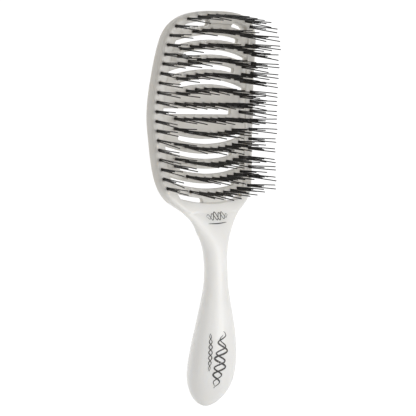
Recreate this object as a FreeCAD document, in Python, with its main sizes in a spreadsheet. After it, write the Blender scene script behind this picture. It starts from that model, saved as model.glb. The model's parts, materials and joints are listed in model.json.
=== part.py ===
"""Vented, curved paddle hair brush, lying on its back: bristles up (+Z), tip towards +Y, grip towards -Y.

One moulding holds a saddle-curved paddle, crossed by eleven vents, and a round grip. Nylon filaments, folded in
pairs over flat wire anchors, stand in blind holes in the ribs, the rim and the bridges. Millimetres throughout.
The origin is on the ground, under the centre of the bounding box.
"""
import FreeCAD, Part
from collections import namedtuple
import math
import os

from FreeCAD import Placement, Rotation, Vector

doc = FreeCAD.newDocument("vented_paddle_brush")

# ---------------------------------------------------------------- driving dimensions
SIZES = {
    # paddle
    "overall_length": 240.0,
    "belly_y": 47.4,            # where the paddle's arc is nearest to the ground
    "belly_z": 11.02,           # height of the bristle face there, on the centre line
    "arc_radius": 205.8,        # along the brush, centre above the bristle face
    "crown_radius": 211.0,      # across the brush, centre below the bristle face
    "paddle_thickness": 7.5,
    "edge_round": 2.1,
    "rim_width": 7.6,
    "rim_height": 1.1,          # rim above the rib field
    "rib_thickness": 3.4,
    "back_rim_width": 5.5,
    "cutter_top": 80.0,         # the cutting prisms reach from here
    "cutter_bottom": 20.0,      # to this far under the ground
    # vents and rows
    "first_row_y": 117.3,
    "row_pitch": 9.1,           # along the paddle's arc
    "bow_radius": 95.0,         # plan radius of the bowed rows and vents
    "vent_width": 3.0,
    "straight_vent_width": 3.4,
    "vent_to_edge": 7.9,
    # tufts
    "hole_radius": 1.0,
    "hole_depth": 2.7,
    "filament_radius": 0.32,
    "fold_radius": 0.42,
    "pair_gap": 0.68,
    "splay_angle": 1.4,         # each leg, in the plane of its fold
    "spread_angle": 1.1,        # each filament, away from its twin
    "fold_turn": -32.0,         # of the folds' planes, away from straight across the brush
    "lean_angle": 8.4,          # of the tufts towards the grip, at the upper right corner
    "lean_left": -3.0,          # more of it at the left edge,
    "lean_low": -5.6,           # in the brush's middle,
    "lean_low_left": 8.4,       # and where both meet
    "fan_radius": 320.0,        # the tufts fan out from a line this far below the face
    "stray_angle": 2.0,
    "long_leg": 22.4,           # above the bristle face
    "short_leg": 12.0,
    "rim_tuft_inset": 3.3,
    "rim_tuft_pitch": 5.78,     # along the paddle's arc
    "first_rim_tuft_y": 110.1,  # on the left
    "rim_stagger": 1.2,         # the right rim's tufts are this much nearer to the tip
    # anchors
    "anchor_width": 1.7,
    "anchor_height": 1.2,
    "anchor_thickness": 0.15,
}

sheet = doc.addObject("Spreadsheet::Sheet", "sizes")
for number, (alias, value) in enumerate(SIZES.items(), start=1):
    sheet.set(f"A{number}", alias)
    sheet.set(f"B{number}", str(value))
    sheet.setAlias(f"B{number}", alias)
doc.recompute()


def size(alias):
    """A driving dimension, read back from the sheet."""
    return float(sheet.get(alias))


def bind(feature, **expressions):
    """Bind properties to sheet cells; a dot in a property's name is written as two underscores."""
    for prop, expression in expressions.items():
        feature.setExpression(prop.replace("__", "."), expression)
    return feature


def shape_feature(name, shape):
    feature = doc.addObject("Part::Feature", name)
    feature.Shape = shape
    return feature


def boolean(kind, name, base, tool):
    feature = doc.addObject(f"Part::{kind}", name)
    feature.Base = base
    feature.Tool = tool
    return feature


# ---------------------------------------------------------------- the saddle of the bristle face
TIP_Y = size("overall_length") / 2
BELLY_Y = size("belly_y")
ARC_CENTRE_Z = size("belly_z") + size("arc_radius")
AXIS_TO_CROWN_CENTRE = size("arc_radius") + size("crown_radius")


def face_height(x, y, depth=0.0):
    """Height of the surface `depth` below the bristle face, over a plan position."""
    crown = size("crown_radius") - depth
    from_axis = AXIS_TO_CROWN_CENTRE - math.sqrt(crown**2 - x**2)
    return ARC_CENTRE_Z - math.sqrt(from_axis**2 - (y - BELLY_Y) ** 2)


def along_arc(start_y, distance):
    """The y that is reached from `start_y` by going `distance` towards the grip along the paddle's arc."""
    angle = math.asin((start_y - BELLY_Y) / size("arc_radius")) - distance / size("arc_radius")
    return BELLY_Y + size("arc_radius") * math.sin(angle)


def crown_arc(depth, reach):
    """An arc across the brush at the belly, `depth` below the bristle face."""
    return Part.Arc(*[Vector(x, BELLY_Y, face_height(x, BELLY_Y, depth)) for x in (-reach, 0, reach)])


def layer(name, upper_depth, lower_depth, reach=50.0, swing=50.0):
    """The material between two surfaces parallel to the bristle face, swept round the paddle's arc."""
    upper = crown_arc(upper_depth, reach)
    lower = crown_arc(lower_depth, reach)
    sides = [Part.LineSegment(upper.value(end), lower.value(other))
             for end, other in ((upper.FirstParameter, lower.FirstParameter),
                                (upper.LastParameter, lower.LastParameter))]
    outline = Part.Wire(Part.__sortEdges__([curve.toShape() for curve in [upper, lower] + sides]))
    solid = doc.addObject("Part::Revolution", name)
    solid.Source = shape_feature(name + "_section", Part.Face(outline))
    solid.Axis = Vector(1, 0, 0)
    solid.Angle = swing
    solid.Symmetric = True
    solid.Solid = True
    return bind(solid, Base__y="sizes.belly_y", Base__z="sizes.belly_z + sizes.arc_radius")


# ---------------------------------------------------------------- outline of the paddle, in plan
# (half width, y) from the tip's centre to where the paddle runs into the neck.
OUTLINE = [
    (0.0, 120.0),
    (12.9, 119.5),
    (22.4, 117.6),
    (30.4, 113.3),
    (35.0, 106.8),
    (36.8, 99.5),
    (38.8, 81.0),
    (40.3, 55.0),
    (39.2, 41.0),
    (37.5, 22.0),
    (35.5, 13.5),
    (31.0, 5.8),
    (26.1, 1.8),
    (21.9, -1.5),
]
HEAD_HALF_WIDTH = max(half for half, _ in OUTLINE)


def half_width(y):
    for (wide, upper), (narrow, lower) in zip(OUTLINE, OUTLINE[1:]):
        if lower <= y <= upper:
            return wide + (narrow - wide) * (upper - y) / (upper - lower)
    raise ValueError(f"no paddle at y = {y}")


def spline(points):
    curve = Part.BSplineCurve()
    curve.interpolate([Vector(*point) for point in points])
    return curve


def outline_curve():
    """One open spline: up the left side, round the tip, down the right side."""
    left = [(-x, y, 0) for x, y in reversed(OUTLINE[1:])]
    right = [(x, y, 0) for x, y in OUTLINE]
    return spline(left + right)


def inset_points(inset, lowest_y, samples=80):
    """Points on a line `inset` inside the outline, in the same order, above `lowest_y`."""
    curve = outline_curve()
    points = []
    for i in range(samples + 1):
        parameter = curve.FirstParameter + (curve.LastParameter - curve.FirstParameter) * i / samples
        tangent = curve.tangent(parameter)[0]
        point = curve.value(parameter) + Vector(tangent.y, -tangent.x, 0) * inset
        if point.y > lowest_y:
            points.append(point)
    return points


def closed_wire(curve):
    ends = curve.value(curve.LastParameter), curve.value(curve.FirstParameter)
    return Part.Wire([curve.toShape(), Part.LineSegment(*ends).toShape()])


def prism(name, *outlines):
    """Vertical prisms over plan outlines, taller than the brush."""
    solid = doc.addObject("Part::Extrusion", name)
    solid.Base = shape_feature(name + "_plan", Part.makeCompound([Part.Face(wire) for wire in outlines]))
    solid.DirMode = "Custom"
    solid.Dir = Vector(0, 0, 1)
    solid.Solid = True
    return bind(solid, LengthFwd="sizes.cutter_top", LengthRev="sizes.cutter_bottom")


# ---------------------------------------------------------------- rows and vents
ROWS = 13
STRAIGHT_ROWS = (6, 7)
SOLID_WEBS = (5, 7)           # no vent between these rows and the next
SPLIT_VENTS = (0, 12)         # a web crosses the first and the last vent
SHORT_LEFT, SHORT_RIGHT = -21.5, 20.0
SPLIT_LEFT, SPLIT_RIGHT = -7.0, 12.0
FIELD_CORNER_RISE = 0.03      # of the bow radius: how far the field's lower corners lie above its lowest point


def row_y(row):
    return along_arc(size("first_row_y"), row * size("row_pitch"))


def bow_sign(row):
    """+1 where a row bows towards the tip, -1 towards the grip, 0 where it is straight."""
    if row in STRAIGHT_ROWS:
        return 0
    return 1 if row < STRAIGHT_ROWS[0] else -1


def bowed_y(x, centre_y, sign):
    radius = size("bow_radius")
    return centre_y - sign * (radius - math.sqrt(radius**2 - x**2))


def rim_x(side, centre_y, sign):
    """Where a bowed line at `centre_y` meets the line that the long vent ends keep to."""
    x = side * 30.0
    for _ in range(6):
        x = side * (half_width(bowed_y(x, centre_y, sign)) - size("vent_to_edge"))
    return x


def bowed_edge(left, right, centre_y, sign):
    ends = [Vector(x, bowed_y(x, centre_y, sign), 0) for x in (left, right)]
    if sign == 0:
        return Part.LineSegment(*ends).toShape()
    middle = (left + right) / 2
    return Part.Arc(ends[0], Vector(middle, bowed_y(middle, centre_y, sign), 0), ends[1]).toShape()


def vent_wire(gap, left=None, right=None):
    """Plan outline of the vent between row `gap` and the next; an end left out runs to the rim."""
    sign = bow_sign(gap)
    centre_y = row_y(gap + 0.5)
    width = size("vent_width") if sign else size("straight_vent_width")
    edges = []
    for offset in (width / 2, -width / 2):
        start = rim_x(-1, centre_y + offset, sign) if left is None else left
        stop = rim_x(1, centre_y + offset, sign) if right is None else right
        edges.append(bowed_edge(start, stop, centre_y + offset, sign))
    upper, lower = edges
    for end in (0, 1):
        edges.append(Part.LineSegment(upper.Vertexes[end].Point, lower.Vertexes[end].Point).toShape())
    return Part.Wire(Part.__sortEdges__(edges))


def short_side(gap):
    """The side with the bridge, which changes from one vent to the next."""
    full_vents = [i for i in range(ROWS) if i not in SOLID_WEBS + SPLIT_VENTS]
    return "left" if full_vents.index(gap) % 2 else "right"


def vent_wires():
    for gap in range(ROWS):
        if gap in SPLIT_VENTS:
            yield vent_wire(gap, right=SPLIT_LEFT)
            yield vent_wire(gap, left=SPLIT_RIGHT)
        elif gap not in SOLID_WEBS:
            short_end = {"right": SHORT_RIGHT, "left": SHORT_LEFT}[short_side(gap)]
            yield vent_wire(gap, **{short_side(gap): short_end})


# ---------------------------------------------------------------- moulding: neck and grip
# y, half width, half thickness, height of the centre, squareness of the section
STATIONS = [
    (3.0, 20.7, 3.3, 11.9, 4.0),
    (-1.0, 22.2, 3.6, 13.0, 3.6),
    (-6.0, 17.7, 3.9, 14.8, 2.8),
    (-12.0, 13.8, 5.0, 15.6, 2.3),
    (-20.0, 9.9, 6.0, 16.5, 2.0),
    (-30.0, 7.8, 6.4, 17.1, 2.0),
    (-40.0, 7.7, 6.5, 17.4, 2.0),
    (-50.0, 8.8, 7.2, 17.2, 2.0),
    (-60.0, 10.9, 8.6, 16.8, 2.0),
    (-70.0, 13.0, 10.0, 16.3, 2.0),
    (-81.0, 15.1, 11.3, 15.2, 2.0),
    (-92.0, 16.3, 12.0, 13.6, 2.0),
    (-101.0, 16.1, 11.8, 12.0, 2.0),
    (-108.0, 14.2, 10.3, 10.5, 2.0),
    (-114.0, 10.6, 7.7, 8.9, 2.0),
    (-118.0, 6.1, 4.4, 7.8, 2.0),
    (-120.0, 1.2, 0.9, 7.2, 2.0),
]


def signed_power(value, power):
    return math.copysign(abs(value) ** power, value)


def station_wire(y, half, thick, centre_z, squareness, points=24):
    """A closed superellipse across the brush, which sags at its edges as the paddle's crown does."""
    ring = []
    for i in range(points):
        angle = 2 * math.pi * i / points
        x = half * signed_power(math.cos(angle), 2 / squareness)
        z = thick * signed_power(math.sin(angle), 2 / squareness)
        ring.append(Vector(x, y, centre_z + z - x**2 / (2 * size("crown_radius"))))
    curve = Part.BSplineCurve()
    curve.interpolate(Points=ring, PeriodicFlag=True)
    return Part.Wire(curve.toShape())


def field_prism(name, inset):
    """A prism over the rib field, which ends at the lower edge of the last vent."""
    low_y = row_y(ROWS - 0.5) - size("vent_width") / 2
    rim_line = inset_points(inset, low_y + size("bow_radius") * FIELD_CORNER_RISE)
    field_end = Part.Arc(rim_line[-1], Vector(0, low_y, 0), rim_line[0])
    return prism(name, Part.Wire([spline(rim_line).toShape(), field_end.toShape()]))


def blank_body():
    """Paddle and grip, joined, before anything is cut into them."""
    plate = boolean("Common", "plate", prism("plate_prism", closed_wire(outline_curve())),
                    layer("plate_layer", 0, size("paddle_thickness")))
    doc.recompute()
    rounded = doc.addObject("Part::Fillet", "rounded_plate")
    rounded.Base = plate
    rounded.Edges = [
        (number, size("edge_round"), size("edge_round"))
        for number, edge in enumerate(plate.Shape.Edges, start=1)
        if edge.BoundBox.YMax > TIP_Y - 1
    ]
    grip = shape_feature("grip", Part.makeLoft([station_wire(*station) for station in STATIONS], True, False))
    return boolean("Fuse", "blank", rounded, grip)


def brush_body(holes):
    front = boolean("Common", "front_recess", field_prism("front_field", size("rim_width")),
                    layer("front_layer", -size("paddle_thickness"), size("rim_height")))
    rib_back = size("rim_height") + size("rib_thickness")
    back = boolean("Common", "back_recess", field_prism("back_field", size("back_rim_width")),
                   layer("back_layer", rib_back, 2 * size("paddle_thickness")))
    vents = prism("vents", *vent_wires())
    body = blank_body()
    for number, cutter in enumerate((front, back, vents, holes)):
        body = boolean("Cut", f"body_cut_{number}", body, cutter)
    return body


# ---------------------------------------------------------------- tufts
RIM_TUFTS = 18
COLUMNS = 9
FIRST_COLUMN, COLUMN_PITCH, CLOSING = -24.0, 7.1, 0.09      # the columns close up towards the right
MISSING_COLUMNS = {0: (8,), 1: (0, 8), 8: (8,), 11: (0,), 12: (0, 8)}
ROW_SHIFTS = {0: 1.4, 5: 1.1, 12: 2.0}
USUAL_ROW_SHIFT = 0.5
BRIDGE_TUFTS = (1, 2, 3, 6, 10)      # vents whose bridge carries a tuft
BRIDGE_LEFT, BRIDGE_RIGHT = -24.4, 27.8


def row_x(row):
    shift = ROW_SHIFTS.get(row, USUAL_ROW_SHIFT)
    for column in range(COLUMNS):
        if column not in MISSING_COLUMNS.get(row, ()):
            yield FIRST_COLUMN + shift + column * (COLUMN_PITCH - CLOSING * column)


def nearest_row(x, y):
    return min(range(ROWS), key=lambda row: abs(bowed_y(x, row_y(row), bow_sign(row)) - y))


def wobble(seed):
    """A repeatable value between -1 and 1 that looks random."""
    return 2 * math.modf(abs(math.sin(seed * 12.9898) * 43758.5453))[0] - 1


def tuft_sites():
    """(row, x, y, depth of the surface) of each tuft."""
    rib_depth = size("rim_height")
    for row in range(ROWS):
        for x in row_x(row):
            yield row, x, bowed_y(x, row_y(row), bow_sign(row)), 0 if row == 0 else rib_depth
    for gap in BRIDGE_TUFTS:
        x = BRIDGE_RIGHT if short_side(gap) == "right" else BRIDGE_LEFT
        yield gap, x, bowed_y(x, row_y(gap + 0.5), bow_sign(gap)), rib_depth
    rim_line = inset_points(size("rim_tuft_inset"), 0)
    for side, stagger in ((-1, 0), (1, size("rim_stagger"))):
        for number in range(RIM_TUFTS):
            y = along_arc(size("first_rim_tuft_y"), number * size("rim_tuft_pitch")) + stagger
            x = min((abs(point.y - y), point.x) for point in rim_line if point.x > 0)[1]
            yield nearest_row(x, y), side * x, y, 0


Tuft = namedtuple("Tuft", "row placement spread")


def tuft_layout():
    """The tufts. A placement's origin is the mouth of the hole, and its Z axis runs up the tuft."""
    tufts = []
    for number, (row, x, y, depth) in enumerate(tuft_sites()):
        leftness = (1 - x / HEAD_HALF_WIDTH) / 2
        lowness = 1 - y / TIP_Y
        lean = size("lean_angle") + size("lean_left") * leftness + size("lean_low") * lowness
        lean += size("lean_low_left") * leftness * lowness
        stray = math.radians(size("stray_angle"))
        direction = Vector(
            x / size("fan_radius") + stray * wobble(number),
            -math.radians(lean) + stray * wobble(number + 0.5),
            1,
        )
        fold_turn = size("fold_turn") * (1 + 0.5 * wobble(number + 0.2))
        turn = Rotation(Vector(0, 0, 1), direction) * Rotation(Vector(0, 0, 1), fold_turn)
        spread = size("spread_angle") * (1 + 0.6 * wobble(number + 0.8))
        tufts.append(Tuft(row, Placement(Vector(x, y, face_height(x, y, depth)), turn), spread))
    return tufts


def fold_height():
    """Height of the fold's centre, from the mouth of the hole."""
    return size("fold_radius") + 1.3 * size("filament_radius") - size("hole_depth")


def hole_tool():
    """What drills a tuft's hole, from the mouth's level down and up."""
    drill = bind(doc.addObject("Part::Cylinder", "drill"),
                 Radius="sizes.hole_radius", Height="2 * sizes.hole_depth")
    drill.Placement = Placement(Vector(0, 0, -size("hole_depth")), Rotation())
    return drill


def filament():
    """One nylon filament, folded in a V round the anchor, with one long leg and one short one."""
    fold, splay = size("fold_radius"), math.radians(size("splay_angle"))
    along = {side: Vector(side * math.sin(splay), 0, math.cos(splay)) for side in (-1, 1)}
    start = {side: Vector(side * math.cos(splay), 0, -math.sin(splay)) * fold for side in (-1, 1)}
    long_tip = start[1] + along[1] * (size("long_leg") - fold_height())
    short_tip = start[-1] + along[-1] * (size("short_leg") - fold_height())
    path = shape_feature("filament_path", Part.Wire([
        Part.LineSegment(long_tip, start[1]).toShape(),
        Part.Arc(start[1], Vector(0, 0, -fold), start[-1]).toShape(),
        Part.LineSegment(start[-1], short_tip).toShape(),
    ]))
    section = bind(doc.addObject("Part::Circle", "filament_section"), Radius="sizes.filament_radius")
    section.Placement = Placement(long_tip, Rotation(Vector(0, 0, 1), along[1]))
    sweep = doc.addObject("Part::Sweep", "filament")
    sweep.Sections = [section]
    sweep.Spine = (path, ["Edge1", "Edge2", "Edge3"])
    sweep.Solid = True
    return sweep


def flat_wire():
    """The anchor that holds the folds down."""
    wire = bind(doc.addObject("Part::Box", "flat_wire"),
                Length="sizes.anchor_thickness", Width="sizes.anchor_width", Height="sizes.anchor_height")
    wire.Placement = Placement(
        Vector(-size("anchor_thickness") / 2, -size("anchor_width") / 2, fold_height()), Rotation())
    return wire


def moved(feature, placement):
    """A copy of a feature's shape, carried along by a placement."""
    shape = feature.Shape.copy()
    shape.Placement = placement * shape.Placement
    return shape


def filament_pair(tuft, strand):
    """A tuft's two filaments, side by side, each with its long leg on the other side."""
    for side in (-1, 1):
        fold_point = Vector(0, side * size("pair_gap") / 2, fold_height())
        spread = Rotation(Vector(1, 0, 0), -side * tuft.spread)
        turn = Rotation(Vector(0, 0, 1), 90 + 90 * side)
        yield moved(strand, tuft.placement * Placement(fold_point, spread * turn))


# ---------------------------------------------------------------- the sub-parts
tufts = tuft_layout()
drill, strand, wire = hole_tool(), filament(), flat_wire()
doc.recompute()

holes = shape_feature("tuft_holes", Part.makeCompound([moved(drill, tuft.placement) for tuft in tufts]))
nodes = {"brush_body": brush_body(holes)}
for row in range(ROWS):
    row_tufts = [tuft for tuft in tufts if tuft.row == row]
    pairs = [piece for tuft in row_tufts for piece in filament_pair(tuft, strand)]
    anchors = [moved(wire, tuft.placement) for tuft in row_tufts]
    nodes[f"tufts_row_{row + 1:02d}"] = shape_feature("tufts", Part.makeCompound(pairs))
    nodes[f"anchors_row_{row + 1:02d}"] = shape_feature("anchors", Part.makeCompound(anchors))
for name, feature in nodes.items():
    feature.Label = name
doc.recompute()

for feature in doc.Objects:
    if "Invalid" in feature.State or "Error" in feature.State:
        raise RuntimeError(f"{feature.Label} failed: {feature.State}")
os.makedirs("parts", exist_ok=True)
for name, feature in nodes.items():
    shape = feature.Shape
    if shape.isNull() or not shape.isValid():
        raise RuntimeError(f"{name} has no valid shape")
    shape.exportStep(f"parts/{name}.step")
    box = shape.BoundBox
    print(f"{name}: {len(shape.Solids)} solids, {shape.Volume:.1f} mm3, z {box.ZMin:.2f} to {box.ZMax:.2f}")
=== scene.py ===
"""Looks of the vented paddle hair brush: its moulding, folded filaments and printed strands, and a studio."""

import json
import math

import bpy
import numpy as np
from mathutils import Matrix, Vector
from mathutils.bvhtree import BVHTree


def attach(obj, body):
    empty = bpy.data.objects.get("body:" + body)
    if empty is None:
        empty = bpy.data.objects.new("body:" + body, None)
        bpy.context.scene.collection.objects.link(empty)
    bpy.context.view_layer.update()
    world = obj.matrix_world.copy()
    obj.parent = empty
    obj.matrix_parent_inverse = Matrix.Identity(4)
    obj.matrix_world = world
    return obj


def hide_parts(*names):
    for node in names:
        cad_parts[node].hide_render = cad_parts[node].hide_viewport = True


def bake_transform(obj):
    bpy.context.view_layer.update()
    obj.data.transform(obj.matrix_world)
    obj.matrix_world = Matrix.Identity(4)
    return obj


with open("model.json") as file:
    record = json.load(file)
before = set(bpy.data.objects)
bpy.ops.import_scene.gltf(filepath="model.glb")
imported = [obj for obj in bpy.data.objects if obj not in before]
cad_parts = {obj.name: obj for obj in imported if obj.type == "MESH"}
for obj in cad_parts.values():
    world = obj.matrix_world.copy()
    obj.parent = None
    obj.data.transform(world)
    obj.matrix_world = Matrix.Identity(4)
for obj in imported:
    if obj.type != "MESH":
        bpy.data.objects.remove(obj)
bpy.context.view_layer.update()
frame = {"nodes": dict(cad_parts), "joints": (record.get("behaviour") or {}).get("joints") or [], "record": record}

MM = 0.001
BODY = "brush"
BODY_NODE = "brush_body"
ROW_JOINTS = [joint for joint in frame["joints"] if joint["name"].startswith("row_")]


# the camera: turned about the brush's length, tipped towards its tip, a long way off
VIEW_TURN, VIEW_TIP, VIEW_ROLL = 40.0, 1.28, -0.42
VIEW_DISTANCE = 1.5
VIEW_WIDTH = 0.2544             # what the picture spans at the origin
VIEW_AIM_RIGHT, VIEW_AIM_UP = 6.7 * MM, 0.7 * MM
SENSOR_WIDTH = 36.0
CLIP_END = 20.0

# the studio: a white room, a soft light overhead, another around the camera, and a floor that glows white
WORLD_STRENGTH = 0.2
KEY_DIRECTION = (0.22, -0.08, 1.0)
KEY_DISTANCE, KEY_SIZE, KEY_POWER = 1.1, 0.6, 9.0
FILL_DISTANCE, FILL_SIZE, FILL_POWER = 1.4, 1.2, 4.0
FLOOR_SIZE = 6.0
FLOOR_SHADE, FLOOR_GLOW = 0.15, 0.96

# printed strokes, in plan: ((start, end, swing, waves, phase), width), lengths in mm
INK_THICKNESS = 0.02 * MM
STROKE_POINTS = 60
STROKE_TAPER = 0.06             # radians cut from each end of the half turn that shapes a stroke's width
RAY_HEIGHT = 0.1                # above the whole brush
GRIP_STRANDS = [
    (((-1.8, -73.4), (-4.6, -108.0), 4.2, 3.5, 0.5), 1.2),
    (((-2.4, -75.5), (-4.8, -106.5), 3.4, 3.5, 3.0), 1.0),
    (((-9.6, -74.5), (-9.9, -97.4), 0.9, 3.5, 0.0), 0.55),
    (((-9.6, -74.5), (-9.9, -97.4), 0.9, 3.5, 3.1), 0.5),
]
NECK_STRANDS = [
    (((-7.6, -4.4), (9.4, -3.4), 2.6, 3.0, 0.0), 0.55),
    (((-7.2, -4.6), (9.8, -3.6), 2.2, 3.0, 2.8), 0.5),
    (((-7.0, -8.5), (7.4, -7.8), 0.3, 0.5, 3.1), 0.65),
]


# ---------------------------------------------------------------- helpers
def new_piece(name, mesh, material, smooth=True):
    piece = bpy.data.objects.new(name, mesh)
    bpy.context.scene.collection.objects.link(piece)
    mesh.materials.clear()
    mesh.materials.append(material)
    mesh.polygons.foreach_set("use_smooth", [smooth] * len(mesh.polygons))
    return piece


def node_points(mesh):
    """A mesh's vertices as an array."""
    points = np.empty(len(mesh.vertices) * 3)
    mesh.vertices.foreach_get("co", points)
    return points.reshape(-1, 3)


# ---------------------------------------------------------------- materials
class Shader:
    """A Principled material whose nodes are added by name."""

    def __init__(self, name, **sockets):
        self.material = bpy.data.materials.new(name)
        self.material.use_nodes = True
        self.nodes = self.material.node_tree.nodes
        self.principled = self.nodes["Principled BSDF"]
        for socket, value in sockets.items():
            self.principled.inputs[socket.replace("_", " ")].default_value = value

    def add(self, kind, **settings):
        node = self.nodes.new(kind)
        for key, value in settings.items():
            if key in node.inputs:
                node.inputs[key].default_value = value
            else:
                setattr(node, key, value)
        return node

    def link(self, source, target):
        self.material.node_tree.links.new(source, target)

    def object_noise(self, scale, detail=2.0, roughness=0.5):
        place = self.add("ShaderNodeTexCoord")
        noise = self.add("ShaderNodeTexNoise", Scale=scale, Detail=detail, Roughness=roughness)
        self.link(place.outputs["Object"], noise.inputs["Vector"])
        return noise.outputs["Fac"]

    def ramp(self, factor, low, high, start=0.0, stop=1.0):
        ramp = self.add("ShaderNodeValToRGB")
        ramp.color_ramp.elements[0].position = start
        ramp.color_ramp.elements[0].color = low
        ramp.color_ramp.elements[1].position = stop
        ramp.color_ramp.elements[1].color = high
        self.link(factor, ramp.inputs["Fac"])
        return ramp.outputs["Color"]

    def bump(self, height, strength, distance):
        bump = self.add("ShaderNodeBump", Strength=strength, Distance=distance)
        self.link(height, bump.inputs["Height"])
        self.link(bump.outputs["Normal"], self.principled.inputs["Normal"])


PAINTED_SHADE_FROM, PAINTED_SHADE_TO = -0.003, 0.02       # along y, from the neck into the flat paddle, over which the painted shade fades in
GRAIN_DEPTH, STREAK_DEPTH, INK_DEPTH = 0.04 * MM, 0.02 * MM, 0.01 * MM


def moulded_plastic():
    """Milky polypropylene with a fine spark-eroded grain: nearly white on the neck and grip, and greyer on the
    flat paddle as painted shade, which stands in for the shade the bristles cast there."""
    shader = Shader("milky_plastic", Roughness=0.42, Subsurface_Weight=0.5, Subsurface_Scale=0.006,
                    Subsurface_Radius=(1.0, 0.95, 0.85), IOR=1.49)
    cloud = shader.object_noise(18.0, 3.0)
    neck_and_grip_colour = shader.ramp(cloud, (0.78, 0.77, 0.745, 1), (0.84, 0.835, 0.82, 1), 0.3, 0.7)
    # painted shade: the paddle's greyer, warmer colour stands in for the shade the bristles cast on it
    painted_shade_colour = shader.ramp(cloud, (0.55, 0.53, 0.49, 1), (0.62, 0.602, 0.57, 1), 0.3, 0.7)
    place = shader.add("ShaderNodeTexCoord")
    split = shader.add("ShaderNodeSeparateXYZ")
    shader.link(place.outputs["Object"], split.inputs["Vector"])
    # the painted shade fades in along y, from the neck onto the paddle
    painted_shade_blend = shader.add("ShaderNodeMapRange", interpolation_type="SMOOTHSTEP")
    painted_shade_blend.inputs["From Min"].default_value = PAINTED_SHADE_FROM
    painted_shade_blend.inputs["From Max"].default_value = PAINTED_SHADE_TO
    shader.link(split.outputs["Y"], painted_shade_blend.inputs["Value"])
    mix = shader.add("ShaderNodeMixRGB")
    shader.link(painted_shade_blend.outputs["Result"], mix.inputs["Fac"])
    shader.link(neck_and_grip_colour, mix.inputs["Color1"])
    shader.link(painted_shade_colour, mix.inputs["Color2"])
    shader.link(mix.outputs["Color"], shader.principled.inputs["Base Color"])
    grain = shader.object_noise(2600.0, 3.0, 0.6)
    gloss = shader.ramp(cloud, (0.38,) * 3 + (1,), (0.5,) * 3 + (1,), 0.3, 0.7)
    shader.link(gloss, shader.principled.inputs["Roughness"])
    shader.bump(grain, 0.12, GRAIN_DEPTH)
    return shader.material


def nylon():
    """Black nylon 6.6 filament: satin, a touch browner and duller along some of its length."""
    shader = Shader("black_nylon", Roughness=0.34, IOR=1.53, Specular_IOR_Level=0.3)
    streak = shader.object_noise(140.0, 2.0)
    colour = shader.ramp(streak, (0.005, 0.0042, 0.004, 1), (0.016, 0.0135, 0.012, 1), 0.35, 0.75)
    shader.link(colour, shader.principled.inputs["Base Color"])
    gloss = shader.ramp(streak, (0.3,) * 3 + (1,), (0.45,) * 3 + (1,))
    shader.link(gloss, shader.principled.inputs["Roughness"])
    shader.bump(shader.object_noise(5200.0, 1.0), 0.08, STREAK_DEPTH)
    return shader.material


def anchor_wire():
    """Flat nickel-silver wire, drawn along its length."""
    shader = Shader("anchor_wire", Metallic=1.0, Roughness=0.32)
    drawn = shader.object_noise(900.0, 2.0)
    colour = shader.ramp(drawn, (0.42, 0.40, 0.36, 1), (0.6, 0.58, 0.53, 1))
    shader.link(colour, shader.principled.inputs["Base Color"])
    shader.bump(drawn, 0.1, STREAK_DEPTH)
    return shader.material


def print_ink():
    """Pad-printed ink, grey-black and slightly uneven in cover."""
    shader = Shader("print_ink", Roughness=0.55)
    cover = shader.object_noise(1600.0, 2.0)
    colour = shader.ramp(cover, (0.028, 0.026, 0.026, 1), (0.07, 0.066, 0.064, 1), 0.35, 0.7)
    shader.link(colour, shader.principled.inputs["Base Color"])
    shader.bump(cover, 0.05, INK_DEPTH)
    return shader.material


# ---------------------------------------------------------------- the moulding
REMESH_CELL = 0.45 * MM
SMOOTHING, SMOOTHING_STEPS = 0.5, 5
JUNCTION_Y, JUNCTION_REACH = -4.4 * MM, 9 * MM      # where the neck's underside meets the paddle's end
JUNCTION_STEPS = 120


def soften_junction(mesh):
    """Runs the underside of the paddle smoothly into the neck's."""
    points = node_points(mesh)
    normals = np.empty(len(points) * 3)
    mesh.vertex_normals.foreach_get("vector", normals)
    nearness = 1 - np.abs(points[:, 1] - JUNCTION_Y) / JUNCTION_REACH
    pull = np.where(normals[2::3] < 0, nearness.clip(0, 1), 0)[:, None]
    ends = np.empty(len(mesh.edges) * 2, dtype=np.int64)
    mesh.edges.foreach_get("vertices", ends)
    ends = ends.reshape(-1, 2)
    ends = ends[(pull[ends] > 0).any(axis=(1, 2))]
    ends = np.vstack([ends, ends[:, ::-1]])
    count = np.bincount(ends[:, 0], minlength=len(points)).clip(1)
    for _ in range(JUNCTION_STEPS):
        neighbours = np.stack([np.bincount(ends[:, 0], points[ends[:, 1], axis], len(points))
                               for axis in range(3)], axis=1)
        points += pull * (neighbours / count[:, None] - points)
    mesh.vertices.foreach_set("co", points.ravel())
    mesh.update()


def moulded_body(material):
    """The CAD moulding, remeshed finely and eased, so that every edge has a moulded radius. This also narrows
    the bristles' holes a little."""
    source = frame["nodes"][BODY_NODE].data.copy()
    work = bpy.data.objects.new("body_work", source)
    bpy.context.scene.collection.objects.link(work)
    remesh = work.modifiers.new("remesh", "REMESH")
    remesh.mode = "VOXEL"
    remesh.voxel_size = REMESH_CELL
    ease = work.modifiers.new("ease", "SMOOTH")
    ease.factor = SMOOTHING
    ease.iterations = SMOOTHING_STEPS
    evaluated = work.evaluated_get(bpy.context.evaluated_depsgraph_get())
    mesh = bpy.data.meshes.new_from_object(evaluated)
    bpy.data.objects.remove(work)
    soften_junction(mesh)
    body = new_piece("moulded_body", mesh, material)
    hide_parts(BODY_NODE)
    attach(body, BODY)
    return body


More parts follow.
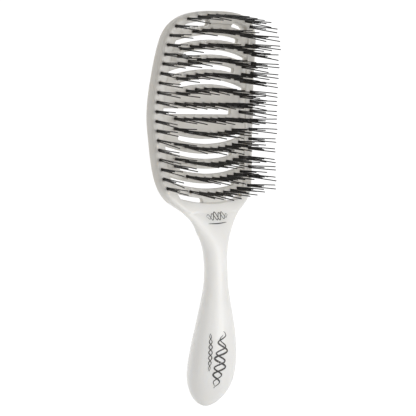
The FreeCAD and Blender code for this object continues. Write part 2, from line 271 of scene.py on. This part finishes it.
# ---------------------------------------------------------------- filaments
FILAMENT_RADIUS = 0.32 * MM
FOLD_RADIUS = 0.42 * MM
FOLD_HEIGHT = FOLD_RADIUS + FILAMENT_RADIUS     # of the fold's centre over its underside
SIDES = 8
LEG_STEPS = 7
FOLD_STEPS = 5
DOME = ((0.5, 0.87), (0.87, 0.5), (1.0, 0.12))    # (distance, width) of the end rings, in radii
BOW = 0.35 * MM                 # how far a long leg bows, as a standard deviation,
BOW_SHARES = (0.5, 1, 0)        # in x, y and z,
SHORT_BOW = 0.3                 # and a short leg's share of it
BOW_RETURN = 0.4
WELD_DISTANCE = 1e-7
TIP_SLICE, SHORT_TIP_SLICE = 0.05 * MM, 0.1 * MM    # the heights over which an end's points are averaged
TUBE_SEAM = (0.3, 0.9, 0.2)     # a direction that no filament runs in, where a tube's first side starts


def solids_of(mesh):
    """Point arrays of a mesh's separate solids."""
    points = node_points(mesh)
    _, same = np.unique(np.round(points / WELD_DISTANCE).astype(np.int64), axis=0, return_inverse=True)
    same = same.ravel()
    leader = np.arange(same.max() + 1)

    def root(i):
        while leader[i] != i:
            leader[i] = leader[leader[i]]
            i = leader[i]
        return i

    ends = np.empty(len(mesh.edges) * 2, dtype=np.int64)
    mesh.edges.foreach_get("vertices", ends)
    for a, b in same[ends.reshape(-1, 2)]:
        ra, rb = root(a), root(b)
        if ra != rb:
            leader[ra] = rb
    group = np.array([root(i) for i in range(len(leader))])[same]
    for number in np.unique(group):
        yield points[group == number]


def read_filament(points):
    """Where a CAD filament lies: the fold's lowest point, the way up, the way from the short leg to the long
    one, and both tips."""
    fold = points[points[:, 2] < points[:, 2].min() + TIP_SLICE].mean(axis=0)
    long_tip = points[points[:, 2] > points[:, 2].max() - TIP_SLICE].mean(axis=0)
    along = (long_tip - fold) / np.linalg.norm(long_tip - fold)
    height = (points - fold) @ along
    aside = points - fold - np.outer(height, along)
    across = np.linalg.svd(aside - aside.mean(axis=0), full_matrices=False)[2][0]
    shift = aside @ across
    if shift.max() > -shift.min():
        across, shift = -across, -shift
    short_leg = shift < shift.min() / 2
    short_height = height[short_leg].max()
    short_tip = points[short_leg & (height > short_height - SHORT_TIP_SLICE)].mean(axis=0)
    return fold, along, across, long_tip, short_tip


def leg(foot, tip, bow):
    """Points up a leg that bows by `bow` on its way."""
    steps = np.linspace(0, 1, LEG_STEPS)[:, None]
    tip = tip - (tip - foot) / np.linalg.norm(tip - foot) * FILAMENT_RADIUS
    return foot + (tip - foot) * steps + bow * (steps**2 - BOW_RETURN * steps)


def filament_path(points, random):
    """The line of a whole filament: down its short leg, round the fold and up its long leg."""
    fold, along, across, long_tip, short_tip = read_filament(points)
    centre = fold + along * FOLD_HEIGHT
    turn = np.linspace(0, math.pi, FOLD_STEPS + 2)[1:-1, None]
    round_fold = centre - FOLD_RADIUS * (np.cos(turn) * across + np.sin(turn) * along)
    inward = np.array([-np.sign(fold[0]), 0, 0])
    bow = random.normal(0, BOW, 3) * BOW_SHARES + inward * abs(random.normal(0, BOW / 2))
    short_leg = leg(centre - across * FOLD_RADIUS, short_tip, bow * SHORT_BOW)
    long_leg = leg(centre + across * FOLD_RADIUS, long_tip, bow)
    return np.vstack([short_leg[::-1], round_fold, long_leg])


def tube(path, radius):
    """Vertices and faces of a round tube with domed ends."""
    ahead = np.gradient(path, axis=0)
    ahead /= np.linalg.norm(ahead, axis=1)[:, None]
    spine = [(path[0] - ahead[0] * radius * out, ahead[0], radius * wide) for out, wide in reversed(DOME)]
    spine += [(point, forward, radius) for point, forward in zip(path, ahead)]
    spine += [(path[-1] + ahead[-1] * radius * out, ahead[-1], radius * wide) for out, wide in DOME]
    angles = np.linspace(0, 2 * math.pi, SIDES, endpoint=False)[:, None]
    side = np.cross(ahead[0], TUBE_SEAM)
    rings = []
    for point, forward, wide in spine:
        side = side - forward * (side @ forward)
        side /= np.linalg.norm(side)
        rings.append(point + wide * (np.cos(angles) * side + np.sin(angles) * np.cross(forward, side)))
    last = (len(spine) - 1) * SIDES
    faces = [tuple(reversed(range(SIDES))), tuple(range(last, last + SIDES))]
    for ring in range(len(spine) - 1):
        for i in range(SIDES):
            low, next_low = ring * SIDES + i, ring * SIDES + (i + 1) % SIDES
            faces.append((low, next_low, next_low + SIDES, low + SIDES))
    return np.vstack(rings), faces


def joined_mesh(name, parts):
    """One mesh out of many (vertices, faces) pairs."""
    vertices, faces, start = [], [], 0
    for part_vertices, part_faces in parts:
        vertices.append(part_vertices)
        faces.extend(tuple(start + i for i in face) for face in part_faces)
        start += len(part_vertices)
    mesh = bpy.data.meshes.new(name)
    mesh.from_pydata(np.vstack(vertices).tolist(), [], faces)
    mesh.validate()
    return mesh


def bristle_row(joint, material):
    """A row's filaments, rooted in the paddle."""
    (node,) = frame["record"]["behaviour"]["bodies"][joint["child"]]
    random = np.random.default_rng(int(node[-2:]))
    paths = [filament_path(points, random) for points in solids_of(frame["nodes"][node].data)]
    row = new_piece(node.replace("tufts", "bristles"),
                    joined_mesh(node, [tube(path, FILAMENT_RADIUS) for path in paths]), material)
    _, y, root_z = joint["pos_m"]
    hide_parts(node)
    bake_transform(row)


# ---------------------------------------------------------------- printed strands
def surface_point(body_tree, x, y):
    """The place and normal of the bristle side of the body over a plan position."""
    point, normal, _, _ = body_tree.ray_cast(Vector((x, y, RAY_HEIGHT)), Vector((0, 0, -1)))
    return np.array(point), np.array(normal)


def ribbon(body_tree, line, width):
    """A thin printed stroke that lies on the body and tapers to its ends."""
    line = np.array(line)
    ahead = np.gradient(line, axis=0)
    ahead /= np.linalg.norm(ahead, axis=1)[:, None]
    aside = np.stack([-ahead[:, 1], ahead[:, 0]], axis=1)
    taper = np.sqrt(np.sin(np.linspace(STROKE_TAPER, math.pi - STROKE_TAPER, len(line))))
    vertices = []
    for (x, y), (dx, dy), wide in zip(line, aside, taper * width / 2):
        for step in (-1, 0, 1):
            point, normal = surface_point(body_tree, x + step * dx * wide, y + step * dy * wide)
            vertices.append(point + normal * INK_THICKNESS)
    faces = []
    for i in range(len(line) - 1):
        for j in (0, 1):
            corner = 3 * i + j
            faces.append((corner, corner + 3, corner + 4, corner + 1))
    return np.array(vertices), faces


def strand(start, end, swing, waves, phase):
    """A wavy line in plan from start to end; the wave fades in and out."""
    steps = np.linspace(0, 1, STROKE_POINTS)
    start, end = np.array(start) * MM, np.array(end) * MM
    along = end - start
    aside = np.array([-along[1], along[0]]) / np.linalg.norm(along)
    sway = swing * MM * np.sin(2 * math.pi * waves * steps + phase) * np.sin(math.pi * steps) ** 0.5
    return start + steps[:, None] * along + sway[:, None] * aside


def printed_marks(body, material):
    """All the printed strokes, as one piece that lies on the body."""
    tree = BVHTree.FromObject(body, bpy.context.evaluated_depsgraph_get())
    strokes = [ribbon(tree, strand(*shape), width * MM) for shape, width in GRIP_STRANDS + NECK_STRANDS]
    marks = new_piece("printed_strands", joined_mesh("printed_strands", strokes), material)
    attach(marks, BODY)


# ---------------------------------------------------------------- studio
def area_light(name, direction, distance, size, power):
    """A square soft light that looks at the middle of the brush."""
    light = bpy.data.lights.new(name, "AREA")
    light.shape = "SQUARE"
    light.size = size
    light.energy = power
    lamp = bpy.data.objects.new(name, light)
    direction = Vector(direction).normalized()
    lamp.location = direction * distance
    lamp.rotation_euler = direction.to_track_quat("Z", "Y").to_euler()
    bpy.context.scene.collection.objects.link(lamp)


def studio():
    """The white surroundings and the floor."""
    scene = bpy.context.scene
    scene.view_settings.view_transform = "Standard"
    world = bpy.data.worlds.new("studio")
    world.use_nodes = True
    background = world.node_tree.nodes["Background"]
    background.inputs["Color"].default_value = (1, 1, 1, 1)
    background.inputs["Strength"].default_value = WORLD_STRENGTH
    scene.world = world

    floor_mesh = bpy.data.meshes.new("floor")
    half = FLOOR_SIZE / 2
    corners = [(-half, -half, 0), (half, -half, 0), (half, half, 0), (-half, half, 0)]
    floor_mesh.from_pydata(corners, [], [(0, 1, 2, 3)])
    shader = Shader("floor_paper", Base_Color=(FLOOR_SHADE,) * 3 + (1,), Roughness=0.9,
                    Emission_Color=(1, 1, 1, 1), Emission_Strength=FLOOR_GLOW)
    shader.principled.inputs["Specular IOR Level"].default_value = 0
    new_piece("floor", floor_mesh, shader.material, smooth=False)


def view_axes():
    """Right, up and towards the viewer, for a camera turned about the brush's length, tipped and rolled."""
    turn, tip, roll = (math.radians(angle) for angle in (VIEW_TURN, VIEW_TIP, VIEW_ROLL))
    right = Vector((math.cos(turn), 0, math.sin(turn)))
    back = Vector((-math.sin(turn) * math.cos(tip), math.sin(tip), math.cos(turn) * math.cos(tip)))
    up = back.cross(right)
    return right * math.cos(roll) + up * math.sin(roll), up * math.cos(roll) - right * math.sin(roll), back


def camera():
    """The scene's camera, at the photograph's angle."""
    right, up, back = view_axes()
    data = bpy.data.cameras.new("camera")
    data.sensor_width = SENSOR_WIDTH
    data.lens = SENSOR_WIDTH * VIEW_DISTANCE / VIEW_WIDTH
    data.clip_end = CLIP_END
    eye = bpy.data.objects.new("camera", data)
    target = right * VIEW_AIM_RIGHT + up * VIEW_AIM_UP
    axes = Matrix((right, up, back)).transposed().to_4x4()
    eye.matrix_world = Matrix.Translation(target + back * VIEW_DISTANCE) @ axes
    bpy.context.scene.collection.objects.link(eye)
    bpy.context.scene.camera = eye


# ---------------------------------------------------------------- the object, then its studio
plastic, black_nylon, ink, wire = moulded_plastic(), nylon(), print_ink(), anchor_wire()
body = moulded_body(plastic)
for row_joint in ROW_JOINTS:
    bristle_row(row_joint, black_nylon)
printed_marks(body, ink)
for node_name, node in frame["nodes"].items():
    if node_name.startswith("anchors_"):
        node.data.materials.clear()
        node.data.materials.append(wire)

studio()
camera()
_, _, towards_camera = view_axes()
area_light("key", KEY_DIRECTION, KEY_DISTANCE, KEY_SIZE, KEY_POWER)
area_light("fill", towards_camera, FILL_DISTANCE, FILL_SIZE, FILL_POWER)
